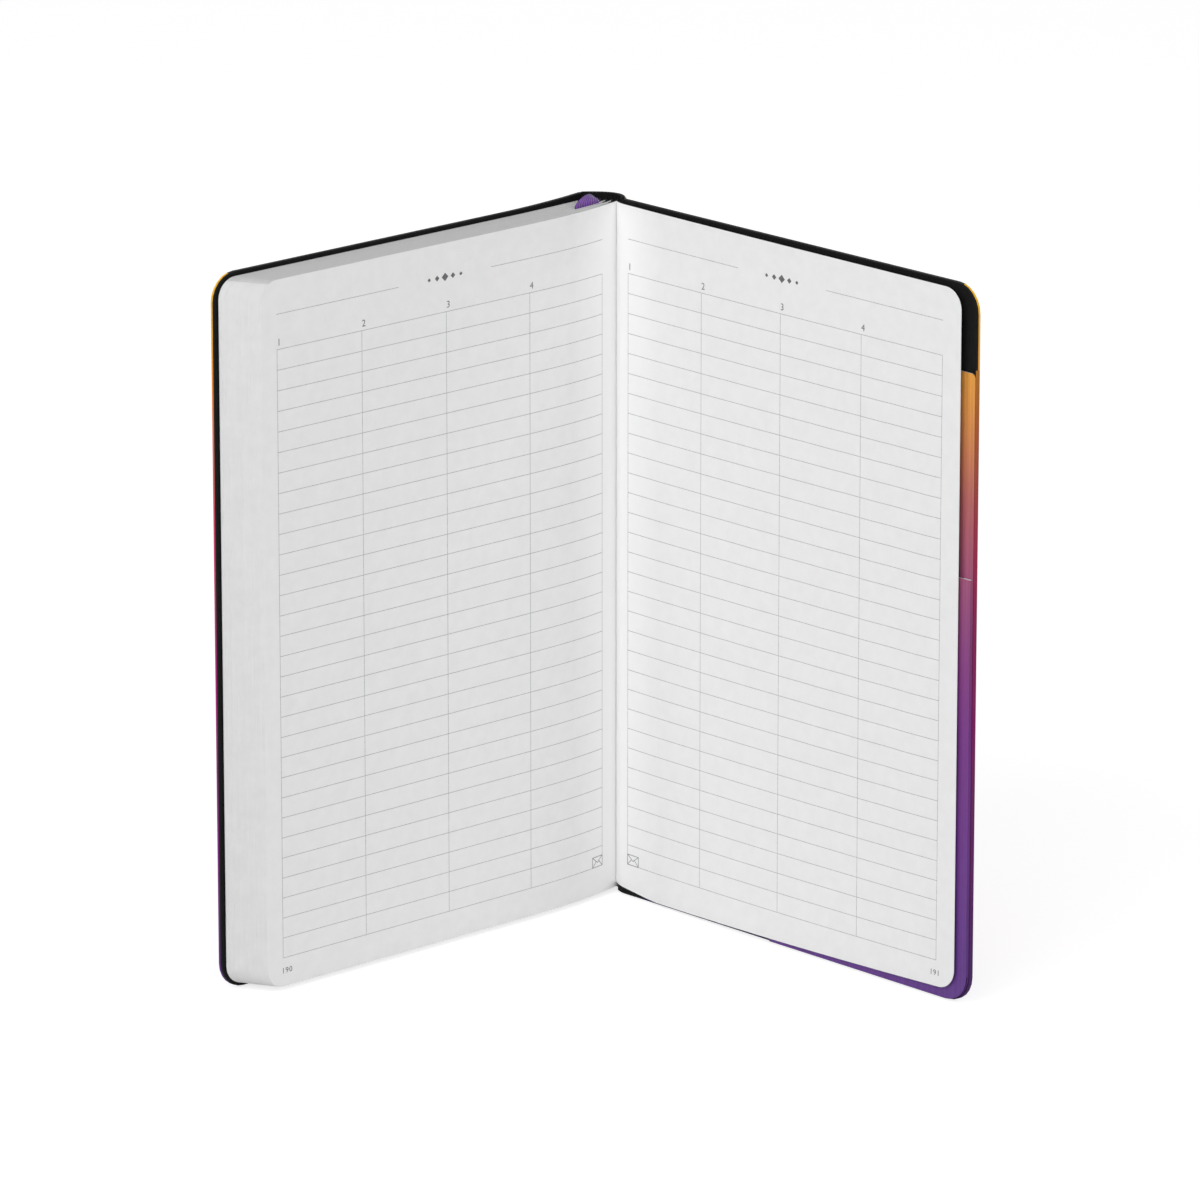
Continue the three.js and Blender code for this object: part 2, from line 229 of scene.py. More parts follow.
def object_place(tree, turn=0, stretch=(1, 1, 1)):
    """Object coordinates, turned to a sheet's own direction and then stretched."""
    turned = add_node(tree, "ShaderNodeMapping", vector_type="TEXTURE")
    turned.inputs["Rotation"].default_value = (0, 0, math.radians(turn))
    tree.links.new(add_node(tree, "ShaderNodeTexCoord").outputs["Object"], turned.inputs["Vector"])
    stretched = add_node(tree, "ShaderNodeMapping")
    stretched.inputs["Scale"].default_value = stretch
    tree.links.new(turned.outputs[0], stretched.inputs["Vector"])
    return stretched.outputs[0]


def split_vector(tree, vector):
    node = add_node(tree, "ShaderNodeSeparateXYZ")
    tree.links.new(vector, node.inputs[0])
    return node.outputs


def noise(tree, vector, scale, detail=2.0, roughness=0.5):
    node = add_node(tree, "ShaderNodeTexNoise")
    tree.links.new(vector, node.inputs["Vector"])
    node.inputs["Scale"].default_value = scale
    node.inputs["Detail"].default_value = detail
    node.inputs["Roughness"].default_value = roughness
    return node.outputs["Fac"]


def fit_range(tree, value, low, high, to_low=0.0, to_high=1.0):
    node = add_node(tree, "ShaderNodeMapRange")
    plug(tree, value, node.inputs["Value"])
    for socket, number in zip(("From Min", "From Max", "To Min", "To Max"), (low, high, to_low, to_high)):
        node.inputs[socket].default_value = number
    return node.outputs[0]


def add_bump(tree, height, strength, distance):
    node = add_node(tree, "ShaderNodeBump")
    tree.links.new(height, node.inputs["Height"])
    node.inputs["Strength"].default_value = strength
    node.inputs["Distance"].default_value = distance
    tree.links.new(node.outputs[0], tree.nodes["Principled BSDF"].inputs["Normal"])


def height_gradient(tree, stops):
    """Colour by height on the notebook, as the print has it."""
    share = do_math(tree, "DIVIDE", split_vector(tree, object_place(tree))["Z"], COVER_HEIGHT * MM)
    ramp = add_node(tree, "ShaderNodeValToRGB")
    ramp.color_ramp.interpolation = "B_SPLINE"
    while len(ramp.color_ramp.elements) < len(stops):
        ramp.color_ramp.elements.new(0.5)
    for element, (position, colour) in zip(ramp.color_ramp.elements, stops):
        element.position = position
        element.color = linear(colour)
    tree.links.new(share, ramp.inputs[0])
    return ramp.outputs["Color"]


def own_normal(tree):
    """The face's direction in the piece's own frame, so that it turns with the piece."""
    shape = add_node(tree, "ShaderNodeNewGeometry")
    turned = add_node(tree, "ShaderNodeVectorTransform", vector_type="NORMAL")
    turned.convert_from = "WORLD"
    turned.convert_to = "OBJECT"
    tree.links.new(shape.outputs["True Normal"], turned.inputs[0])
    return turned.outputs[0]


def faces_up_or_down(tree, limit=0.9):
    upright = do_math(tree, "ABSOLUTE", split_vector(tree, own_normal(tree))["Z"])
    return do_math(tree, "GREATER_THAN", upright, limit)


def plan_reach(tree, vector, direction):
    """How far a vector reaches in a plan direction, given in degrees."""
    node = add_node(tree, "ShaderNodeVectorMath", operation="DOT_PRODUCT")
    tree.links.new(vector, node.inputs[0])
    angle = math.radians(direction)
    node.inputs[1].default_value = (math.cos(angle), math.sin(angle), 0)
    return node.outputs["Value"]


def faces_towards(tree, direction, limit=0.3):
    return do_math(tree, "GREATER_THAN", plan_reach(tree, own_normal(tree), direction), limit)


def inverse(tree, value):
    return do_math(tree, "SUBTRACT", 1.0, value)


def printed_skin(name, reader_side=None, outer_face=None, edge_above=0.0):
    """A gradient print that stops where the skin turns to the reader's side, in degrees.

    It also stops at the head and the tail. Without a reader's side it stops only at those two
    and at a narrow rim along the head. outer_face is a plan point of the cover's outer face,
    from which the print wraps the edge for PRINT_WRAP. Lower than edge_above it runs on over
    the whole edge, darkened there towards black as painted shade.
    """
    material, tree = new_material(name)
    cloudy = noise(tree, object_place(tree), 90, 3)
    worn = fit_range(tree, cloudy, 0.3, 0.7, 0.0, 0.02)
    colour = mix_colour(tree, worn, height_gradient(tree, COVER_STOPS), WORN_PRINT)
    height = split_vector(tree, object_place(tree))["Z"]
    if reader_side is None:
        turned_in = do_math(tree, "GREATER_THAN", height, (COVER_HEIGHT - HEAD_RIM) * MM)
    else:
        turned_in = faces_towards(tree, reader_side)
    turned_in = do_math(tree, "MAXIMUM", turned_in, faces_up_or_down(tree, PRINT_LIMIT))
    if outer_face:
        angle = math.radians(reader_side)
        start = outer_face[0] * math.cos(angle) + outer_face[1] * math.sin(angle) + PRINT_WRAP
        depth = plan_reach(tree, object_place(tree), reader_side)
        past_wrap = do_math(tree, "GREATER_THAN", depth, start * MM)
        turned_in = do_math(tree, "MAXIMUM", turned_in, past_wrap)
        low = do_math(tree, "LESS_THAN", height, edge_above * MM)
        low = do_math(tree, "MULTIPLY", low, inverse(tree, faces_up_or_down(tree)))
        off_outside = inverse(tree, faces_towards(tree, reader_side + 180, 0.7))
        # Painted shade: lower than edge_above, the edge faces that don't face outwards are darkened towards
        # black.
        shaded = do_math(tree, "MULTIPLY", do_math(tree, "MULTIPLY", low, off_outside), EDGE_SHADE)
        colour = mix_colour(tree, shaded, colour, BLACK_EDGE)
        turned_in = do_math(tree, "MULTIPLY", turned_in, inverse(tree, low))
    colour = mix_colour(tree, turned_in, colour, BLACK_EDGE)
    set_finish(tree, colour, fit_range(tree, cloudy, 0.3, 0.7, 0.55, 0.68), 0.07)
    add_bump(tree, noise(tree, object_place(tree), 2600, 2), 0.18, 0.00006)
    return material


def black_paper(name, shade):
    material, tree = new_material(name)
    fibres = noise(tree, object_place(tree, stretch=(1, 1, 0.25)), 1500, 4, 0.6)
    dark = (shade, shade, shade * 1.06, 1)
    pale = (shade * 1.9, shade * 1.9, shade * 2, 1)
    set_finish(tree, mix_colour(tree, fit_range(tree, fibres, 0.35, 0.75), dark, pale), 0.78, 0.1)
    add_bump(tree, fibres, 0.25, 0.00005)
    return material


def dress(node, material):
    """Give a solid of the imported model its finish."""
    slots = frame["nodes"][node].material_slots
    for slot in slots:
        slot.material = material
    if not slots:
        frame["nodes"][node].data.materials.append(material)


joints = {joint["name"]: joint for joint in frame["record"]["behaviour"]["joints"]}
front_axis = [value / MM for value in joints["front_cover_turn"]["pos_m"][:2]]
back_axis = [value / MM for value in joints["back_cover_turn"]["pos_m"][:2]]
front_cos, front_sin = math.cos(math.radians(FRONT_TURN)), math.sin(math.radians(FRONT_TURN))
back_cos, back_sin = math.cos(math.radians(BACK_TURN)), math.sin(math.radians(BACK_TURN))
plan_origin = (
    front_axis[0] + FRONT_HINGE_DEPTH * front_sin,
    front_axis[1] - FRONT_HINGE_DEPTH * front_cos,
)


def front_plan(along, level):
    """Plan place of a distance along the front cover and a level above its outer face."""
    return (
        plan_origin[0] + along * front_cos - level * front_sin,
        plan_origin[1] + along * front_sin + level * front_cos,
    )


def back_plan(along, level):
    """The same for the back cover, whose hinge line is at its mid thickness."""
    off = COVER_THICKNESS / 2 - level
    return (
        back_axis[0] + along * back_cos - off * back_sin,
        back_axis[1] + along * back_sin + off * back_cos,
    )


black_lining = black_paper("black_lining_paper", LINING_BLACK)
black_card = black_paper("black_card", CARD_BLACK)
front_print = printed_skin("front_soft_touch_print", FRONT_TURN + 90, front_plan(0, 0))
back_print = printed_skin("back_soft_touch_print", BACK_TURN - 90, back_plan(0, 0), PRINTED_SHADED_EDGE_TOP)
for side, skin in (("front", front_print), ("back", back_print)):
    dress(f"{side}_cover_skin", skin)
    dress(f"{side}_cover_card", black_card)
    dress(f"{side}_pastedown", black_lining)

# Spine
# One curved strip that joins the covers: printed skin, a flexible card strip and black
# lining. Its hinges are narrow bands of the same skin, which bend between cover and spine.
FLARE_DEPTH = 3.0
FLARE_LENGTH = 34.0
HINGE_SKIN = 0.14
HINGE_TRIM = 0.05
SKIN_OFFSET = -0.1
MID_HEIGHT = COVER_HEIGHT / 2


def flare(along):
    """Level of the front cover's outer face, which flares outwards near its hinge."""
    left = max(0.0, 1 - along / FLARE_LENGTH)
    return -FLARE_DEPTH * left * left


def lay_sheet(name, places, bottom, top, zero=0, start=0.0, stretch=1.0):
    """An upright sheet through plan places, each with an inset from its lower and upper edges.

    Its UV map holds the distance along the sheet from the place numbered zero, counted from
    start and stretched, and the height.
    """
    reach = [0.0]
    for (x0, y0, _), (x1, y1, _) in zip(places, places[1:]):
        reach.append(reach[-1] + math.hypot(x1 - x0, y1 - y0))
    clear_selection()
    steps = len(places) - 1
    bpy.ops.mesh.primitive_grid_add(x_subdivisions=steps, y_subdivisions=1, size=1, location=(0, 0, 0))
    sheet = bpy.context.object
    sheet.name = name
    columns = [round((vertex.co.x + 0.5) * steps) for vertex in sheet.data.vertices]
    for vertex, column in zip(sheet.data.vertices, columns):
        x, y, inset = places[column]
        height = bottom + inset + (top - bottom - 2 * inset) * (vertex.co.y + 0.5)
        vertex.co = (x * MM, y * MM, height * MM)
    paper_map = sheet.data.uv_layers.active.data
    for loop in sheet.data.loops:
        along = (start + stretch * abs(reach[columns[loop.vertex_index]] - reach[zero])) * MM
        paper_map[loop.index].uv = (along, sheet.data.vertices[loop.vertex_index].co.z)
    return sheet


def apply_modifier(piece, kind, **settings):
    clear_selection()
    piece.select_set(True)
    bpy.context.view_layer.objects.active = piece
    modifier = piece.modifiers.new(kind.lower(), kind)
    for key, value in settings.items():
        setattr(modifier, key, value)
    bpy.ops.object.modifier_apply(modifier=modifier.name)


def smooth_piece(piece, angle=35):
    clear_selection()
    piece.select_set(True)
    bpy.context.view_layer.objects.active = piece
    bpy.ops.object.shade_smooth_by_angle(angle=math.radians(angle))


def upright_point(plan, height=MID_HEIGHT):
    return (plan[0] * MM, plan[1] * MM, height * MM)


dress("spine_skin", printed_skin("spine_soft_touch_print", -90))
dress("spine_strip", black_card)
dress("spine_lining", black_lining)

# Each band is given by places out from the hinge line and levels above the cover's outer face.
hinge_print = printed_skin("hinge_soft_touch_print")
FRONT_HINGE_OUTSIDE = [(along, flare(along) + SKIN_OFFSET) for along in (4, 2.6, 1.2)]
FRONT_HINGE_OUTSIDE += [(0.2, -3.02), (-0.7, -2.93), (-1.5, -3.02), (-2.3, -2.47), (-3.1, -1.87)]
BACK_HINGE_OUTSIDE = [(along, SKIN_OFFSET) for along in (4, 2.6, 1.2)]
BACK_HINGE_OUTSIDE += [(0.4, -0.08), (-0.25, -0.06), (-0.72, -0.12), (-1.02, -0.44)]
BACK_HINGE_OUTSIDE += [(-1.35, -0.8), (-1.69, -1.17)]
BACK_HINGE_INSIDE = [(5, 1.29), (3, 1.29), (1.2, 1.29), (0.3, 1.27), (-0.5, 1.2), (-1.1, 1.08)]
BACK_HINGE_INSIDE += [(-1.7, 0.9), (-2.24, 0.31)]
HINGES = [
    ("front_hinge_skin", front_plan, FRONT_HINGE_OUTSIDE, "front_cover", hinge_print, "cover_print"),
    ("back_hinge_skin", back_plan, BACK_HINGE_OUTSIDE, "back_cover", hinge_print, "cover_print"),
    ("back_hinge_lining", back_plan, BACK_HINGE_INSIDE, "back_cover", black_lining, "black_paper"),
]
for name, plan, line, body, material, slot in HINGES:
    places = [(*plan(*place), 0) for place in line]
    band = lay_sheet(name, places, HINGE_TRIM, COVER_HEIGHT - HINGE_TRIM)
    apply_modifier(band, "SOLIDIFY", thickness=HINGE_SKIN * MM, offset=0)
    smooth_piece(band, 50)
    band.data.materials.append(material)
    upright_point(plan(*line[2]))
    upright_point(plan(*line[-3]))
    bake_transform(band)

# Endpapers
# A black free endpaper of the same stout paper as the linings lies in front of the first
# section. The one behind the last leaf comes with that leaf, further down.
dress("front_flyleaf", black_lining)

# Sewn sections
# The block is six sections of eight folded sheets each, sewn through their folds. Every leaf
# is ruled with the same table. The leaves dip at the gutter, the upper ones most, and the
# sections step back towards the reader.
PAGE_TOP = 208.8
PAGE_BOTTOM = 1.2
PAGE_WIDTH = 139.8
PAGE_CORNER = 6.0
SECTION_COUNT = 6
SECTION_THICKNESS = 1.83
BLOCK_THICKNESS = 11.1
BLOCK_FLOOR = 1.6
FOLD_INSET = 0.3
FOLD_SHEAR = 6.0
FOLD_RADIUS = 0.45
FOLD_DIP = 1.5
FOLD_DIP_GAIN = 2.6
FOLD_DIP_LENGTH = 45.0
SLANT_START = 16.0
SHEETS_PER_SECTION = 8
PAPER_THICKNESS = 0.092
TRIM_STEP = 0.07
TRIM_SPREAD = 0.05
DIP_STEPS = 16
FLAT_PLACES = (70.0, 100.0)
CORNER_STEPS = 9
FOLD_TURNS = (-60, -25, 0, 25, 60)

RULE_BOTTOM = 9.7
RULE_TOP = 188.65
RULE_ROWS = 30
RULE_PLACES = [8.9, 39.3, 71.2, 103.0, 134.4]
RULE_INNER, RULE_OUTER = RULE_PLACES[0], RULE_PLACES[-1]
RULE_WIDTH = 0.17
TITLE_RISE = 10.2
TITLE_GAP = 35.0
INK = (0.28, 0.28, 0.285, 1)
PAPER_TONES = (0.795, 0.795, 0.797, 1), (0.83, 0.83, 0.83, 1)
PAINTED_LIGHT_PAPER = (0.95, 0.95, 0.95, 1)
PAINTED_LIGHT_SHARE = 0.85
PAINTED_LIGHT_NEAR = 5.0
PAINTED_LIGHT_FAR = 22.0
PAPER_EDGE_SHADE = (0.6, 0.6, 0.6, 1)
FOLD_HEAD_REACH = 4.2
FOLD_CORNER_REACH = 1.3
FOLD_HEAD_BLACK = (0.03, 0.03, 0.03, 1)


def row_rules(tree, up):
    """1 on the rules of the table's even rows, and 0 between them."""
    pitch = (RULE_TOP - RULE_BOTTOM) / RULE_ROWS * MM
    steps = do_math(tree, "DIVIDE", do_math(tree, "SUBTRACT", up, RULE_BOTTOM * MM), pitch)
    off = do_math(tree, "ABSOLUTE", do_math(tree, "SUBTRACT", steps, do_math(tree, "ROUND", steps)))
    return do_math(tree, "LESS_THAN", off, RULE_WIDTH * MM / 2 / pitch)


def between(tree, value, low, high):
    above = do_math(tree, "GREATER_THAN", value, low)
    return do_math(tree, "MULTIPLY", above, do_math(tree, "LESS_THAN", value, high))


def sheet_map(tree):
    """A sheet's distance from the fold and height, or the ribbon's shares of length and width."""
    place = split_vector(tree, add_node(tree, "ShaderNodeUVMap").outputs["UV"])
    return place["X"], place["Y"]


def table_rules(tree, across, up):
    """1 on the ruled table and on the broken line over it, and 0 beside them."""
    edge = RULE_WIDTH * MM / 2
    in_width = between(tree, across, RULE_INNER * MM - edge, RULE_OUTER * MM + edge)
    in_height = between(tree, up, RULE_BOTTOM * MM - edge, RULE_TOP * MM + edge)
    lines = row_rules(tree, up)
    for place in RULE_PLACES:
        column = between(tree, across, place * MM - edge, place * MM + edge)
        lines = do_math(tree, "MAXIMUM", lines, column)
    table = do_math(tree, "MULTIPLY", lines, in_height)
    title_height = (RULE_TOP + TITLE_RISE) * MM
    title = between(tree, up, title_height - edge, title_height + edge)
    middle = (RULE_INNER + RULE_OUTER) / 2
    gap = between(tree, across, (middle - TITLE_GAP / 2) * MM, (middle + TITLE_GAP / 2) * MM)
    title = do_math(tree, "MULTIPLY", title, inverse(tree, gap))
    return do_math(tree, "MULTIPLY", do_math(tree, "MAXIMUM", table, title), in_width)


ruled_paper, tree = new_material("ruled_paper")
across, up = sheet_map(tree)
cloudy = fit_range(tree, noise(tree, object_place(tree), 260, 4, 0.6), 0.3, 0.7)
paper = mix_colour(tree, cloudy, *PAPER_TONES)
# Painted light: near the folds the paper is made paler, fading out further from the fold, to lift the shade
# of the gutter.
painted_light = fit_range(tree, across, PAINTED_LIGHT_NEAR * MM, PAINTED_LIGHT_FAR * MM, PAINTED_LIGHT_SHARE, 0.0)
paper = mix_colour(tree, painted_light, paper, PAINTED_LIGHT_PAPER)
wear = fit_range(tree, noise(tree, object_place(tree), 2200, 2), 0.3, 0.7, 0.6, 1.0)
paper = mix_colour(tree, do_math(tree, "MULTIPLY", table_rules(tree, across, up), wear), paper, INK)
# Near the folds the head and tail faces of the leaves are made nearly black.
glued = do_math(tree, "LESS_THAN", across, FOLD_HEAD_REACH * MM)
# Painted shade: the head and tail faces of the leaves, away from the folds, are made darker grey than the
# paper.
paper = mix_colour(tree, faces_up_or_down(tree), paper, mix_colour(tree, glued, PAPER_EDGE_SHADE, FOLD_HEAD_BLACK))
# A narrow strip at the top of the leaves' sides, next to the folds, is made nearly black too.
fold_corner = do_math(tree, "LESS_THAN", across, FOLD_CORNER_REACH * MM)
at_head = do_math(tree, "GREATER_THAN", up, (PAGE_TOP - FOLD_CORNER_REACH) * MM)
paper = mix_colour(tree, do_math(tree, "MULTIPLY", fold_corner, at_head), paper, FOLD_HEAD_BLACK)
set_finish(tree, paper, 0.85, 0.2)
add_bump(tree, noise(tree, object_place(tree, stretch=(1, 1, 0.5)), 1300, 4, 0.6), 0.12, 0.00005)


def near_fold(from_fold):
    """1 at a fold, falling to 0 where its leaves lie flat."""
    return max(0.0, 1 - from_fold / FOLD_DIP_LENGTH) ** 3


def dip_depth(share):
    return FOLD_DIP + FOLD_DIP_GAIN * share


def fold_at(share):
    """Place of a fold, a given share of the way through the block."""
    return FOLD_INSET - FOLD_SHEAR * share, BLOCK_FLOOR + BLOCK_THICKNESS * share - dip_depth(share)


def round_corner(width, steps):
    """Distances round a page's outer corners, with the inset at each."""
    for i in range(steps + 1):
        turn = i / steps * math.pi / 2
        yield width - PAGE_CORNER + PAGE_CORNER * math.sin(turn), PAGE_CORNER - PAGE_CORNER * math.cos(turn)


def leaf_distances(width):
    """Distances from a fold to the fore-edge, with the inset of the rounded corner at each."""
    dipping = FOLD_DIP_LENGTH - FOLD_RADIUS
    entries = [(FOLD_RADIUS + dipping * i / DIP_STEPS, 0.0) for i in range(DIP_STEPS + 1)]
    entries += [(place, 0.0) for place in FLAT_PLACES]
    return entries + list(round_corner(width, CORNER_STEPS))


def section_half(from_fold):
    """Half the thickness of a section, which narrows to its fold."""
    full = SECTION_THICKNESS / 2
    return full - (full - FOLD_RADIUS) * near_fold(from_fold - FOLD_RADIUS)


def leaf_place(section_share, side, depth, from_fold):
    """Plan place on a leaf. side is -1 below its section's middle and 1 above, depth is 1 outside."""
    slant = FOLD_SHEAR / SECTION_COUNT / 2 * depth
    slide = slant * min(1.0, max(0.0, (from_fold - SLANT_START) / (PAGE_WIDTH - SLANT_START)))
    middle = BLOCK_FLOOR + BLOCK_THICKNESS * section_share - dip_depth(section_share) * near_fold(from_fold)
    along = fold_at(section_share)[0] + from_fold - side * slide
    return front_plan(along, middle + side * section_half(from_fold) * depth)


def round_fold(section_share, depth):
    """Plan places round the back of a sheet's fold."""
    fold = fold_at(section_share)
    back = fold[0] + FOLD_RADIUS * (1 - depth)
    for turn in FOLD_TURNS:
        angle = math.radians(turn)
        reach = FOLD_RADIUS * depth
        yield (*front_plan(back - reach * math.cos(angle), fold[1] + reach * math.sin(angle)), 0.0)


def folded_sheet(name, section_share, depth, trims):
    """One sheet: in from the lower fore-edge, round the fold, and out to the upper fore-edge."""
    places = []
    for from_fold, inset in reversed(leaf_distances(PAGE_WIDTH + trims[0])):
        places.append((*leaf_place(section_share, -1, depth, from_fold), inset))
    places += round_fold(section_share, depth)
    for from_fold, inset in leaf_distances(PAGE_WIDTH + trims[1]):
        places.append((*leaf_place(section_share, 1, depth, from_fold), inset))
    return lay_sheet(name, places, PAGE_BOTTOM, PAGE_TOP, zero=len(places) // 2)


# The fore-edges are a little uneven: each half of a section's sheets is off by a step on
# either side, and each sheet by a little more.
dice = random.Random(17)
HALF_SECTION = SHEETS_PER_SECTION // 2
for number in range(1, SECTION_COUNT + 1):
    sheets = []
    share = (number - 0.5) / SECTION_COUNT
    steps = [dice.uniform(-TRIM_STEP, TRIM_STEP) for _ in range(4)]
    for k in range(SHEETS_PER_SECTION):
        pair = steps[k // HALF_SECTION], steps[2 + k // HALF_SECTION]
        trims = [step + dice.uniform(-TRIM_SPREAD, TRIM_SPREAD) for step in pair]
        depth = (k + 0.5) / SHEETS_PER_SECTION
        sheets.append(folded_sheet(f"sheet_{number}_{k}", share, depth, trims))
    clear_selection()
    for sheet in sheets:
        sheet.select_set(True)
    bpy.context.view_layer.objects.active = sheets[0]
    bpy.ops.object.join()
    leaves = bpy.context.object
    leaves.name = f"section_{number}_leaves"
    apply_modifier(leaves, "SOLIDIFY", thickness=PAPER_THICKNESS * MM, offset=0)
    smooth_piece(leaves)
    leaves.data.materials.append(ruled_paper)
    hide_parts(f"section_{number}")
    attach(leaves, f"section_{number}")

# Last leaf
# The last ruled leaf has turned over with the back cover. It springs from the gutter, leans
# on the pocket and lifts a little at the fore-edge. The black back endpaper lies behind it.
LEAF_LINE = [
    (-3.77, 0.62), (-3.14, 0.88), (-2.34, 1.2), (-1.44, 1.47), (-0.54, 1.64), (0.46, 1.74), (1.3, 1.78),
    (4, 1.84), (7, 1.93), (11, 2.08), (15, 2.24), (22, 2.37), (30, 2.52), (45, 2.77), (62, 3.0),
    (75, 3.1), (92, 3.2), (110, 3.32),
]
LEAF_END = (137.5, 3.5)
LEAF_ROOT = 2.75
LEAF_STRETCH = 0.98
LEAF_BOTTOM = 0.7
LEAF_LIFT = 3.0
RULE_LIFT = 1.8
FOOT_LIFT = 1.9
FOOT_LENGTH = 17.0
LEAF_THICKNESS = 0.13
ENDPAPER_LINE = [
    (-2.9, 0.7), (-2.3, 0.97), (-1.4, 1.25), (-0.5, 1.41), (0.46, 1.5), (1.3, 1.53), (4, 1.6), (7, 1.7),
    (11, 1.84), (15, 1.97), (22, 2.12), (30, 2.26), (45, 2.48), (62, 2.7), (75, 2.82), (92, 2.93),
    (110, 3.04),
]
ENDPAPER_END = (136.5, 3.2)
ENDPAPER_BOTTOM = 0.25
ENDPAPER_TRIM = 0.6
ENDPAPER_RISE = 1.8
ENDPAPER_THICKNESS = 0.16
LOOSE_CORNER_STEPS = 11


def loose_places(line, end):
    """Plan places of a leaf that lies on the back cover, with its rounded corners."""
    places = [(*back_plan(*place), 0.0) for place in line]
    (x0, y0), (x1, y1) = line[-1], end
    for along, inset in round_corner(x1, LOOSE_CORNER_STEPS):
        level = y0 + (y1 - y0) * (along - x0) / (x1 - x0)
        places.append((*back_plan(along, level), inset))
    return places


def lift_lower_edge(sheet, lift, map_lift):
    """Raise a sheet's lower edge, and its map by another amount, by functions of the distance."""
    raised = {}
    for loop in sheet.data.loops:
        place = sheet.data.uv_layers.active.data[loop.index].uv
        if place[1] < MID_HEIGHT * MM:
            raised[loop.vertex_index] = lift(place[0] / MM) * MM
            place[1] += map_lift(place[0] / MM) * MM
    for index, rise in raised.items():
        sheet.data.vertices[index].co.z += rise


def edge_curl(across):
    """0 at the gutter, growing to 1 at the fore-edge, where the leaf curls up."""
    return (across / LEAF_END[0]) ** 2


def foot_share(across):
    """1 at the gutter, where the leaf's lower corner is lifted, and 0 further out."""
    return max(0.0, 1 - (across - LEAF_ROOT) / FOOT_LENGTH)


def rule_rise(across, up):
    """How far the curl lifts a row of the table, most at the foot."""
    return RULE_LIFT * edge_curl(across) * (PAGE_TOP - up) / PAGE_TOP


def hang_sheet(sheet, thickness, material, node):
    """Finish a loose sheet that is glued at the spine and follows the back cover."""
    apply_modifier(sheet, "SOLIDIFY", thickness=thickness * MM, offset=0)
    smooth_piece(sheet, 50)
    sheet.data.materials.append(material)
    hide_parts(node)
    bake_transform(sheet)


leaf_places = loose_places(LEAF_LINE, LEAF_END)
last_leaf = lay_sheet("last_ruled_leaf", leaf_places, LEAF_BOTTOM, PAGE_TOP, 0, LEAF_ROOT, LEAF_STRETCH)
lift_lower_edge(
    last_leaf,
    lambda across: LEAF_LIFT * edge_curl(across) + FOOT_LIFT * foot_share(across),
    lambda across: (LEAF_LIFT - RULE_LIFT) * edge_curl(across) + FOOT_LIFT * foot_share(across),
)
hang_sheet(last_leaf, LEAF_THICKNESS, ruled_paper, "last_leaf")

endpaper_places = loose_places(ENDPAPER_LINE, ENDPAPER_END)
endpaper = lay_sheet("back_endpaper", endpaper_places, ENDPAPER_BOTTOM, PAGE_TOP - ENDPAPER_TRIM)
lift_lower_edge(
    endpaper,
    lambda far: ENDPAPER_RISE * (1 - foot_share(far)) ** 3 + LEAF_LIFT * edge_curl(far),
    lambda far: 0.0,
)
hang_sheet(endpaper, ENDPAPER_THICKNESS, black_lining, "back_flyleaf")

# Printing on the open spread
# Page numbers, column numbers, a row of small lozenges as the heading and a small envelope in
# the table's inner corner, printed in grey. Each mark is a thin layer of ink on the page.
INK_LAYER = 0.012
MARK_LIFT = 0.025
INK_TONES = (0.1, 0.1, 0.105, 1), (0.2, 0.2, 0.205, 1)
LETTER_SPACING = 1.15
LABEL_SIZE = 2.9
LABEL_RISE = 1.1
PAGE_NUMBER_SIZE = 2.4
PAGE_NUMBER_HEIGHT = 5.1
HEADING_HEIGHT = 198.9
HEADING = [(-6, 0.6), (-3, 0.85), (0, 1.25), (3, 0.85), (6, 0.6)]
ENVELOPE_WIDTH = 4.6
ENVELOPE_HEIGHT = 3.1
ENVELOPE_CORNERS = [(0, 0), (1, 0), (1, 1), (0, 1), (0, 0)]
ENVELOPE_FLAPS = [((0, 1), (0.5, 0.42)), ((0.5, 0.42), (1, 1))]
ENVELOPE_FLAPS += [((0, 0), (0.36, 0.56)), ((1, 0), (0.64, 0.56))]
LEFT_NUMBER_START = RULE_OUTER + 0.6
RIGHT_NUMBER_START = RULE_OUTER - 2.4


def page_line(points, start=0.0, stretch=1.0):
    """A page's plan line as (distance from the fold, x, y)."""
    line = [(start, *points[0])]
    for x, y in points[1:]:
        far, x0, y0 = line[-1]
        line.append((far + stretch * math.hypot(x - x0, y - y0), x, y))
    return line


open_share = (SECTION_COUNT - 0.5) / SECTION_COUNT
outer_depth = (SHEETS_PER_SECTION - 0.5) / SHEETS_PER_SECTION
left_points = [place[:2] for place in round_fold(open_share, outer_depth)][len(FOLD_TURNS) // 2 :]
left_points += [leaf_place(open_share, 1, outer_depth, far) for far, _ in leaf_distances(PAGE_WIDTH)]
left_line = page_line(left_points)
right_line = page_line([place[:2] for place in leaf_places], LEAF_ROOT, LEAF_STRETCH)


def on_page(line, reader_side, across, up, lift):
    """Place of a mark's point at a distance and a height on a page, lifted off the paper."""
    for (d0, x0, y0), (d1, x1, y1) in zip(line, line[1:]):
        if across <= d1:
            break
    share = (across - d0) / (d1 - d0)
    aside = reader_side * lift / math.hypot(x1 - x0, y1 - y0)
    x = x0 + (x1 - x0) * share - (y1 - y0) * aside
    y = y0 + (y1 - y0) * share + (x1 - x0) * aside
    return [value * MM for value in (x, y, up)]


ink_print, tree = new_material("grey_ink")
speckle = fit_range(tree, noise(tree, object_place(tree), 2500, 2), 0.3, 0.7)
set_finish(tree, mix_colour(tree, speckle, *INK_TONES), 0.8, 0.15)

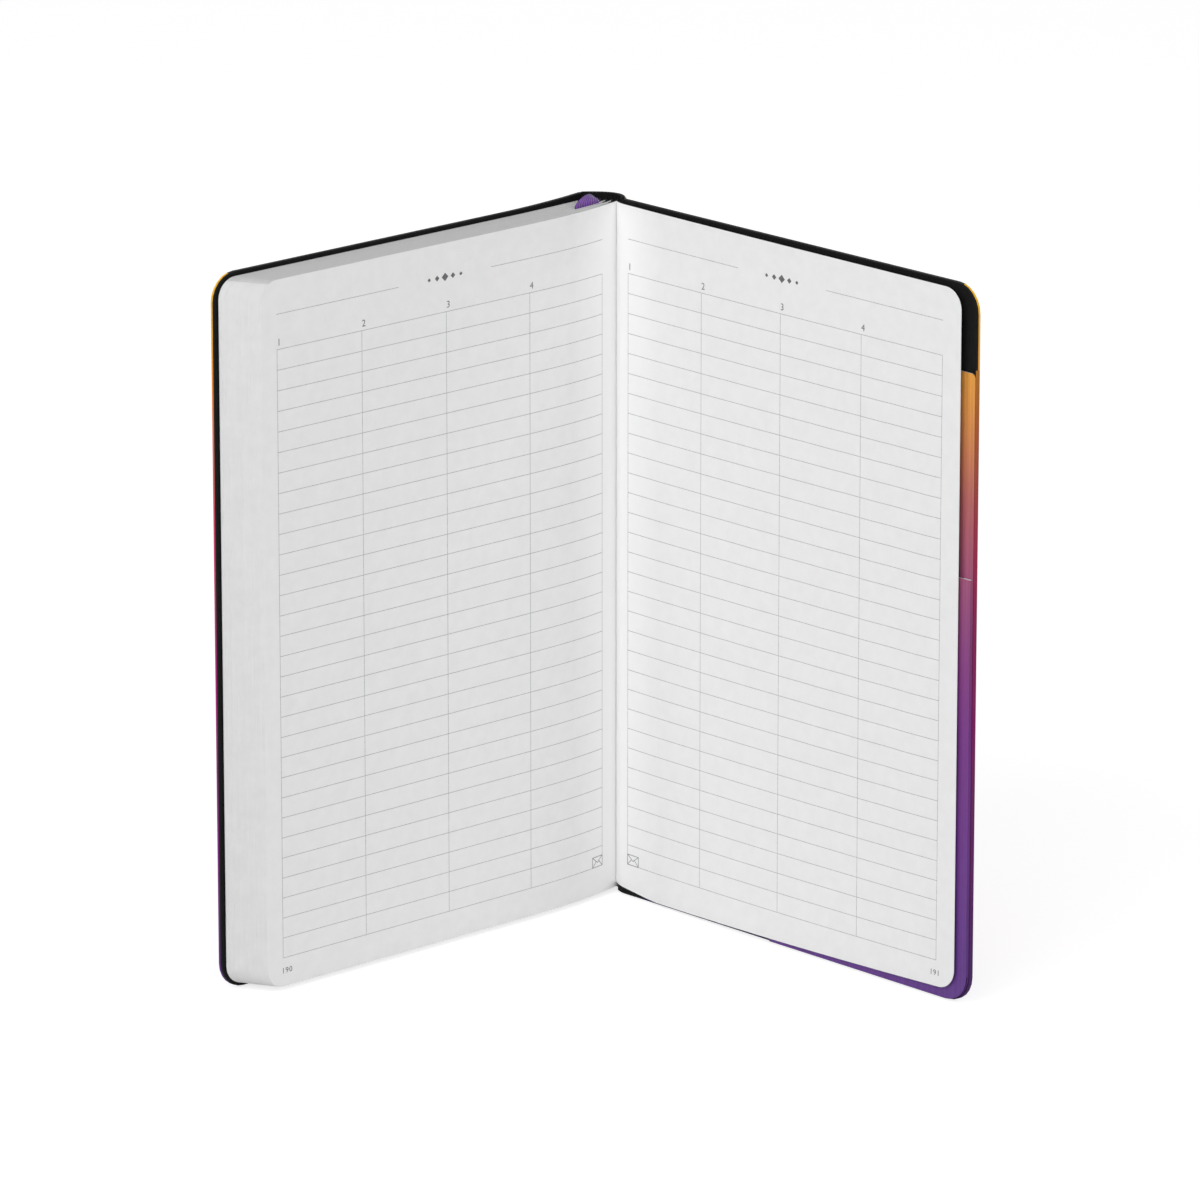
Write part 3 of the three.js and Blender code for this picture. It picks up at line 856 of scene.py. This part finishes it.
# Each page: its line, the side of the line that the reader sees, the way that reading runs
# along it, half its paper's thickness, the body that it rides on and how its rows rise.
PAGES = {
    "left": (left_line, 1, -1, PAPER_THICKNESS / 2, "section_6", lambda across, up: 0.0),
    "right": (right_line, -1, 1, LEAF_THICKNESS / 2, "last_leaf", rule_rise),
}


def lay_mark(piece, page, start):
    """Lay a mark that was made flat on its page, counted from a start on the page."""
    line, reader_side, reading, half, _, rise = PAGES[page]
    for vertex in piece.data.vertices:
        x, y, z = vertex.co
        lift = half + MARK_LIFT + z
        across, up = start[0] + reading * x, start[1] + y
        vertex.co = on_page(line, reader_side, across, up + rise(across, up), lift)
    return piece


def number_mark(text, size, page, start):
    clear_selection()
    bpy.ops.object.text_add(location=(0, 0, 0))
    mark = bpy.context.object
    mark.data.body = text
    mark.data.size = size
    mark.data.space_character = LETTER_SPACING
    mark.data.resolution_u = 3
    bpy.ops.object.convert(target="MESH")
    mark = bpy.context.object
    apply_modifier(mark, "SOLIDIFY", thickness=INK_LAYER, offset=0)
    return lay_mark(mark, page, start)


def stroke_mark(corners, width, page, start):
    """A line of even width between two points of the page."""
    (x0, y0), (x1, y1) = corners
    length = math.hypot(x1 - x0, y1 - y0)
    aside = (-(y1 - y0) / length * width, (x1 - x0) / length * width)
    clear_selection()
    bpy.ops.mesh.primitive_cube_add(size=1, location=(0, 0, 0))
    mark = bpy.context.object
    for vertex in mark.data.vertices:
        share = vertex.co.x + 0.5
        side = vertex.co.y
        vertex.co.x = x0 + (x1 - x0) * share + aside[0] * side
        vertex.co.y = y0 + (y1 - y0) * share + aside[1] * side
        vertex.co.z *= INK_LAYER
    return lay_mark(mark, page, start)


def lozenge(centre, reach, page, start):
    clear_selection()
    bpy.ops.mesh.primitive_cylinder_add(vertices=4, radius=reach, depth=INK_LAYER, location=(0, 0, 0))
    mark = bpy.context.object
    for vertex in mark.data.vertices:
        vertex.co.x += centre
    return lay_mark(mark, page, start)


def join_marks(marks, name, body):
    clear_selection()
    for mark in marks:
        mark.select_set(True)
    bpy.context.view_layer.objects.active = marks[0]
    bpy.ops.object.join()
    joined = bpy.context.object
    joined.name = name
    bpy.ops.object.mode_set(mode="EDIT")
    bpy.ops.mesh.select_all(action="SELECT")
    bpy.ops.mesh.normals_make_consistent(inside=False)
    bpy.ops.object.mode_set(mode="OBJECT")
    joined.data.materials.clear()
    joined.data.materials.append(ink_print)
    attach(joined, body)


# Each page: its columns in reading order, its number and the number's place, and the place of
# the envelope's first corner.
SPREAD = [
    ("left", RULE_PLACES[:0:-1], "190", LEFT_NUMBER_START, RULE_INNER + ENVELOPE_WIDTH),
    ("right", RULE_PLACES[:-1], "191", RIGHT_NUMBER_START, RULE_INNER),
]
for page, columns, page_number, number_at, corner in SPREAD:
    marks = [number_mark(page_number, PAGE_NUMBER_SIZE, page, (number_at, PAGE_NUMBER_HEIGHT))]
    for number, column in enumerate(columns, 1):
        marks.append(number_mark(str(number), LABEL_SIZE, page, (column, RULE_TOP + LABEL_RISE)))
    heading = ((RULE_INNER + RULE_OUTER) / 2, HEADING_HEIGHT)
    marks += [lozenge(place, reach, page, heading) for place, reach in HEADING]
    for start, end in list(zip(ENVELOPE_CORNERS, ENVELOPE_CORNERS[1:])) + ENVELOPE_FLAPS:
        ends = [(x * ENVELOPE_WIDTH, y * ENVELOPE_HEIGHT) for x, y in (start, end)]
        marks.append(stroke_mark(ends, RULE_WIDTH, page, (corner, RULE_BOTTOM)))
    join_marks(marks, f"{page}_page_print", PAGES[page][4])

# Pocket
# A folded paper pocket on the back lining: a tall back panel, a lower front panel and a strip
# up each side. It has the same print as the covers, and its cut edges are white.
POCKET_STOPS = [
    (0.00, (98, 62, 138)),
    (0.15, (105, 61, 137)),
    (0.30, (118, 62, 141)),
    (0.43, (127, 60, 139)),
    (0.57, (158, 82, 131)),
    (0.71, (193, 108, 103)),
    (0.80, (222, 145, 84)),
    (0.90, (238, 170, 66)),
]
STREAK = (0.05, 0.02, 0.04, 1)
STREAK_SHARE = 0.34
POCKET_EDGE = (0.8, 0.8, 0.8, 1)
CREASE_TURN = 20
pocket_print, tree = new_material("pocket_print")
streaks = noise(tree, object_place(tree, BACK_TURN, (900, 900, 12)), 1.0, 3, 0.6)
streaks = fit_range(tree, streaks, 0.4, 0.75, 0.0, STREAK_SHARE)
colour = mix_colour(tree, streaks, height_gradient(tree, POCKET_STOPS), STREAK)
colour = mix_colour(tree, faces_up_or_down(tree), colour, POCKET_EDGE)
set_finish(tree, colour, 0.5, 0.2)
creases = noise(tree, object_place(tree, CREASE_TURN, (90, 90, 30)), 1.0, 4, 0.65)
add_bump(tree, creases, 0.35, 0.0006)
for node in ("pocket_back_panel", "pocket_front_panel", "pocket_outer_gusset", "pocket_inner_gusset"):
    dress(node, pocket_print)

# Sewing and cloth
# The sections are sewn with white thread through their folds, and an open-weave cloth is
# glued over the stitches. Both show only from above, inside the hollow of the spine.
THREAD_TONES = (0.62, 0.6, 0.55, 1), (0.84, 0.83, 0.79, 1)
CLOTH_TONES = (0.3, 0.29, 0.27, 1), (0.72, 0.7, 0.64, 1)
WEAVE_TURN = FRONT_TURN + 62


def bands(tree, vector, direction, scale):
    node = add_node(tree, "ShaderNodeTexWave", bands_direction=direction)
    tree.links.new(vector, node.inputs["Vector"])
    node.inputs["Scale"].default_value = scale
    return node.outputs["Fac"]


thread_white, tree = new_material("sewing_thread")
twist = bands(tree, object_place(tree), "DIAGONAL", 900)
set_finish(tree, mix_colour(tree, twist, *THREAD_TONES), 0.75)
add_bump(tree, twist, 0.4, 0.00005)
dress("sewing_threads", thread_white)

cloth, tree = new_material("open_weave_cloth")
weft = bands(tree, object_place(tree), "Z", 320)
warp = bands(tree, object_place(tree, WEAVE_TURN), "X", 320)
crossing = do_math(tree, "MAXIMUM", weft, warp)
tone = mix_colour(tree, fit_range(tree, crossing, 0.5, 0.9), *CLOTH_TONES)
height = split_vector(tree, object_place(tree))["Z"]
# The top of the cloth, near the head of the block, is made nearly black.
glued = do_math(tree, "GREATER_THAN", height, (PAGE_TOP - FOLD_HEAD_REACH) * MM)
set_finish(tree, mix_colour(tree, glued, tone, FOLD_HEAD_BLACK), 0.95)
add_bump(tree, crossing, 0.6, 0.0001)
dress("binding_gauze", cloth)

# Ribbon bookmark
# A narrow violet ribbon, glued inside the spine. It comes up over the head of the folds,
# fans out, and goes down between the fourth and the fifth section. Its two edges are given by
# places out from the front hinge, levels above the cover's outer face, and heights.
RIBBON_EDGES = [
    ((0.8, 6.79, 24), (8.0, 7.74, 24)),
    ((0.8, 6.79, 190), (8.0, 7.74, 190)),
    ((0.8, 6.79, 206), (10.4, 7.92, 206)),
    ((0.8, 6.72, 208.6), (11.6, 7.95, 209.2)),
    ((0.8, 6.4, 209.3), (10.6, 7.4, 209.9)),
    ((0.6, 5.9, 209.7), (8.6, 6.4, 210.5)),
    ((0.3, 5.4, 209.9), (6.2, 5.5, 211.1)),
    ((-0.2, 5.1, 209.0), (3.7, 4.7, 211.4)),
    ((-0.9, 4.7, 208.6), (1.4, 3.9, 211.0)),
    ((-2.2, 3.9, 207.6), (-0.9, 2.9, 209.2)),
    ((-3.1, 2.95, 206.4), (-1.5, 1.3, 207.4)),
    ((-3.3, 2.65, 204), (-1.75, 0.6, 205)),
    ((-3.3, 2.65, 197), (-1.75, 0.6, 197)),
]
RIBBON_ACROSS = 8
RIBBON_THICKNESS = 0.16
RIBBON_ARCH = 0.3
RIBBON_RIBS = 10
RIB_TONES = linear((34, 10, 70)), linear((130, 66, 180))
GLINT = linear((146, 90, 192))
GLINT_SHARE = 0.25
SHADED_VIOLET = linear((24, 8, 50))
PAINTED_SHADE_SHARE = 0.75
PAINTED_SHADE_FROM = 0.5
PAINTED_SHADE_FULL = 0.66
clear_selection()
steps = len(RIBBON_EDGES) - 1
bpy.ops.mesh.primitive_grid_add(
    x_subdivisions=steps, y_subdivisions=RIBBON_ACROSS, size=1, location=(0, 0, 0)
)
ribbon = bpy.context.object
ribbon.name = "ribbon"
for vertex in ribbon.data.vertices:
    inner, outer = RIBBON_EDGES[round((vertex.co.x + 0.5) * steps)]
    share = vertex.co.y + 0.5
    s, t, z = [a + (b - a) * share for a, b in zip(inner, outer)]
    if z > PAGE_TOP:
        z += RIBBON_ARCH * math.sin(share * math.pi)
    x, y = front_plan(s, t)
    vertex.co = (x * MM, y * MM, z * MM)
apply_modifier(ribbon, "SUBSURF", levels=2, render_levels=2)
apply_modifier(ribbon, "SOLIDIFY", thickness=RIBBON_THICKNESS * MM, offset=0)
smooth_piece(ribbon, 60)
satin, tree = new_material("violet_satin")
along, across = sheet_map(tree)
ribs = do_math(tree, "SINE", do_math(tree, "MULTIPLY", across, RIBBON_RIBS * 2 * math.pi))
ribs = fit_range(tree, ribs, -1, 1)
glints = fit_range(tree, noise(tree, object_place(tree), 900, 3, 0.6), 0.35, 0.7)
tone = mix_colour(tree, ribs, *RIB_TONES)
tone = mix_colour(tree, do_math(tree, "MULTIPLY", glints, GLINT_SHARE), tone, GLINT)
# Painted shade: past the crest, the run that goes down between the sections is darkened towards deep
# violet.
inside = fit_range(tree, along, PAINTED_SHADE_FROM, PAINTED_SHADE_FULL, 0.0, PAINTED_SHADE_SHARE)
shader = set_finish(tree, mix_colour(tree, inside, tone, SHADED_VIOLET), 0.45)
shader.inputs["Sheen Weight"].default_value = 0.1
add_bump(tree, ribs, 0.6, 0.00012)
ribbon.data.materials.append(satin)
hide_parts("ribbon_bookmark")
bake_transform(ribbon)

# End
# Nothing is left selected.
clear_selection()
